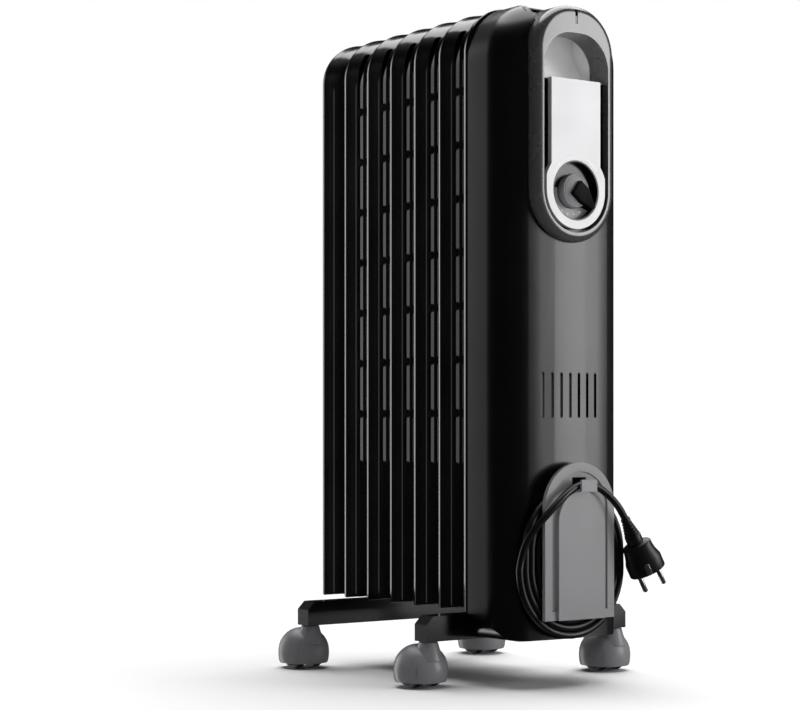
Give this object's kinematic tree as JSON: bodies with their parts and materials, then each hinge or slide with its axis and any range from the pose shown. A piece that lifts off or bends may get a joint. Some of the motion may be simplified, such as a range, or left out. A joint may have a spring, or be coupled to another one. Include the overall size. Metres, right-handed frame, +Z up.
{
  "type": "oil filled radiator heater",
  "caption": "Free-standing oil filled electric radiator with folded fins, front control housing, carrying handle, wound mains cord and swivelling twin-wheel castors.",
  "frame": {"origin": "On the floor, under the middle of the heater's box without its cord.", "axes": "+Z up, the control side faces -Y, +X right seen from the front."},
  "size_m": [0.2848, 0.3518, 0.65],
  "materials": {
    "black_enamel": "gloss black stoved enamel",
    "zinc_steel": "zinc plated steel",
    "gasket_rubber": "matte",
    "rod_sheath": "annealed sheath",
    "ceramic_block": "unglazed",
    "switch_body": "moulded phenolic",
    "brass_shaft": "turned",
    "silver_plastic": "silver grey moulded plastic",
    "pale_plastic": "pale moulded plastic",
    "grey_plastic": "mid grey moulded plastic",
    "black_plastic": "black moulded plastic",
    "lens_red": "dark red tinted",
    "lamp_glass": "neon lamp",
    "cord_sheath": "black flexible cord sheath",
    "nickel_pins": "nickel plated"
  },
  "bodies": {
    "root": {"element_1": "black_enamel", "element_2": "black_enamel", "element_3": "black_enamel", "element_4": "black_enamel", "element_5": "black_enamel", "element_6": "black_enamel", "element_7": "black_enamel", "lower_blind_plug": "zinc_steel", "upper_blind_plug": "zinc_steel", "filler_plug": "zinc_steel", "heating_rod": "rod_sheath", "heater_flange": "zinc_steel", "heater_gasket": "gasket_rubber", "front_header_plug": "zinc_steel", "front_housing": "black_enamel", "housing_screws": "zinc_steel", "mounting_bracket": "zinc_steel", "terminal_block": "ceramic_block", "thermal_cutout": "switch_body", "thermostat": "switch_body", "control_frame": "silver_plastic", "grip_liner": "pale_plastic", "fascia": "silver_plastic", "dial_ring": "grey_plastic", "dial_well": "black_plastic", "pilot_lens": "lens_red", "pilot_lamp": "lamp_glass", "cord_hub": "black_plastic", "cord_plate": "grey_plastic", "cord_gland": "cord_sheath", "cord_coil": "cord_sheath", "cord_tail": "cord_sheath", "plug": "black_plastic", "plug_pins": "nickel_pins", "front_foot": "black_enamel", "rear_foot": "black_enamel", "foot_clamps": "zinc_steel", "wing_nuts": "zinc_steel"},
    "dial": {"knob": "grey_plastic", "thermostat_shaft": "brass_shaft"},
    "swivel_1": {"castor_1": "grey_plastic", "castor_axle_1": "zinc_steel"},
    "roller_1a": {"wheel_1a": "black_plastic"},
    "roller_1b": {"wheel_1b": "black_plastic"},
    "swivel_2": {"castor_2": "grey_plastic", "castor_axle_2": "zinc_steel"},
    "roller_2a": {"wheel_2a": "black_plastic"},
    "roller_2b": {"wheel_2b": "black_plastic"},
    "swivel_3": {"castor_3": "grey_plastic", "castor_axle_3": "zinc_steel"},
    "roller_3a": {"wheel_3a": "black_plastic"},
    "roller_3b": {"wheel_3b": "black_plastic"},
    "swivel_4": {"castor_4": "grey_plastic", "castor_axle_4": "zinc_steel"},
    "roller_4a": {"wheel_4a": "black_plastic"},
    "roller_4b": {"wheel_4b": "black_plastic"}
  },
  "joints": [
    {"name": "knob_turn", "type": "hinge", "parent": "root", "child": "dial", "pos_m": [0, -0.14885, 0.47], "axis": [0, 1, 0], "range_deg": [-250, 25]},
    {"name": "swivel_1_turn", "type": "hinge", "parent": "root", "child": "swivel_1", "pos_m": [-0.1164, -0.07125, 0.05], "axis": [0, 0, 1], "continuous": true},
    {"name": "roller_1a_spin", "type": "hinge", "parent": "swivel_1", "child": "roller_1a", "pos_m": [-0.1269, -0.05925, 0.018], "axis": [1, 0, 0], "continuous": true},
    {"name": "roller_1b_spin", "type": "hinge", "parent": "swivel_1", "child": "roller_1b", "pos_m": [-0.1059, -0.05925, 0.018], "axis": [1, 0, 0], "continuous": true},
    {"name": "swivel_2_turn", "type": "hinge", "parent": "root", "child": "swivel_2", "pos_m": [0.1164, -0.07125, 0.05], "axis": [0, 0, 1], "continuous": true},
    {"name": "roller_2a_spin", "type": "hinge", "parent": "swivel_2", "child": "roller_2a", "pos_m": [0.1059, -0.05925, 0.018], "axis": [1, 0, 0], "continuous": true},
    {"name": "roller_2b_spin", "type": "hinge", "parent": "swivel_2", "child": "roller_2b", "pos_m": [0.1269, -0.05925, 0.018], "axis": [1, 0, 0], "continuous": true},
    {"name": "swivel_3_turn", "type": "hinge", "parent": "root", "child": "swivel_3", "pos_m": [-0.1164, 0.12875, 0.05], "axis": [0, 0, 1], "continuous": true},
    {"name": "roller_3a_spin", "type": "hinge", "parent": "swivel_3", "child": "roller_3a", "pos_m": [-0.1269, 0.14075, 0.018], "axis": [1, 0, 0], "continuous": true},
    {"name": "roller_3b_spin", "type": "hinge", "parent": "swivel_3", "child": "roller_3b", "pos_m": [-0.1059, 0.14075, 0.018], "axis": [1, 0, 0], "continuous": true},
    {"name": "swivel_4_turn", "type": "hinge", "parent": "root", "child": "swivel_4", "pos_m": [0.1164, 0.12875, 0.05], "axis": [0, 0, 1], "continuous": true},
    {"name": "roller_4a_spin", "type": "hinge", "parent": "swivel_4", "child": "roller_4a", "pos_m": [0.1059, 0.14075, 0.018], "axis": [1, 0, 0], "continuous": true},
    {"name": "roller_4b_spin", "type": "hinge", "parent": "swivel_4", "child": "roller_4b", "pos_m": [0.1269, 0.14075, 0.018], "axis": [1, 0, 0], "continuous": true}
  ]
}
